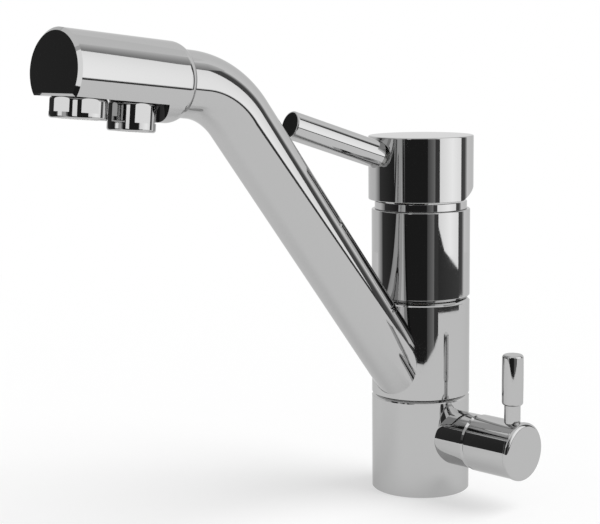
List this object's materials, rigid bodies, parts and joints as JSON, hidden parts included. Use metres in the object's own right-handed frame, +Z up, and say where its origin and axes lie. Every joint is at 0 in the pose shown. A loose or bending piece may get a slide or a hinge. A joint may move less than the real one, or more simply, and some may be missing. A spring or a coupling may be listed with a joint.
{
  "type": "three way filtered water tap",
  "caption": "Kitchen mixer tap with a swivel spout, one lever for hot and cold water, a side handle for filtered water and separate outlets for the two.",
  "frame": {"origin": "centre of the foot where the base stands on the worktop", "axes": "+Z up along the body, the spout at rest points along -Y, the filtered water handle is on the +X side"},
  "size_m": [0.0936, 0.2521, 0.2359],
  "materials": {
    "chrome": "polished mirror chrome",
    "brass": "machined",
    "steel": "turned stainless steel",
    "rubber": "matte",
    "white_plastic": "moulded",
    "ceramic": "ground and polished"
  },
  "bodies": {
    "tap_body": {"base_body": "chrome", "foot_seal": "rubber", "centre_column": "brass", "column_seal_low": "rubber", "column_seal_middle": "rubber", "column_seal_high": "rubber", "slide_ring_low": "white_plastic", "slide_ring_high": "white_plastic", "upper_sleeve": "chrome", "cartridge_seat_plate": "white_plastic", "seat_seal_hot": "rubber", "seat_seal_cold": "rubber", "seat_seal_mixed": "rubber", "fixed_disc": "ceramic", "cartridge_housing": "white_plastic", "lock_nut": "brass", "neck_ring": "chrome", "valve_headwork": "brass", "valve_outer_seal": "rubber", "valve_fixed_disc": "ceramic"},
    "spout": {"spout_collar": "chrome", "stop_pin": "steel", "spout_tube": "chrome", "spout_bend": "chrome", "head_neck": "chrome", "head_shell": "chrome", "head_end_plate": "chrome", "inner_tube": "white_plastic", "outlet_manifold": "white_plastic", "aerator_housing_front": "chrome", "aerator_insert_front": "white_plastic", "aerator_washer_front": "rubber", "aerator_housing_rear": "chrome", "aerator_insert_rear": "white_plastic", "aerator_washer_rear": "rubber"},
    "mixer_turn": {"turning_carrier": "white_plastic", "pivot_pin": "steel"},
    "mixer_lift": {"mixer_spindle": "steel", "handle_cap": "chrome", "lever_stud": "steel", "lever_rod": "chrome"},
    "mixer_disc": {"moving_disc": "ceramic", "disc_carrier": "white_plastic"},
    "filter_handle": {"valve_moving_disc": "ceramic", "valve_spindle": "brass", "filter_knob": "chrome", "knob_end_cap": "chrome", "knob_grub_screw": "steel", "filter_stem": "chrome", "filter_grip": "chrome"}
  },
  "joints": [
    {"name": "spout_swivel", "type": "hinge", "parent": "tap_body", "child": "spout", "pos_m": [0, 0, 0.07445], "axis": [0, 0, 1], "range_deg": [-60, 60]},
    {"name": "mixer_temperature", "type": "hinge", "parent": "tap_body", "child": "mixer_turn", "pos_m": [0, 0, 0.13265], "axis": [0, 0, 1], "range_deg": [-45, 45]},
    {"name": "mixer_flow", "type": "hinge", "parent": "mixer_turn", "child": "mixer_lift", "pos_m": [0, 0, 0.13265], "axis": [-0.9848, 0.1736, 0], "range_deg": [0, 24]},
    {"name": "mixer_disc_slide", "type": "slide", "parent": "mixer_turn", "child": "mixer_disc", "axis": [-0.1736, -0.9848, 0], "range_m": [0, 0.0042]},
    {"name": "filter_quarter_turn", "type": "hinge", "parent": "tap_body", "child": "filter_handle", "pos_m": [0.05, 0, 0.0295], "axis": [1, 0, 0], "range_deg": [0, 90]}
  ],
  "couplings": [
    {"joint": "mixer_disc_slide", "follows": "mixer_flow", "m_per_rad": 0.0098}
  ]
}
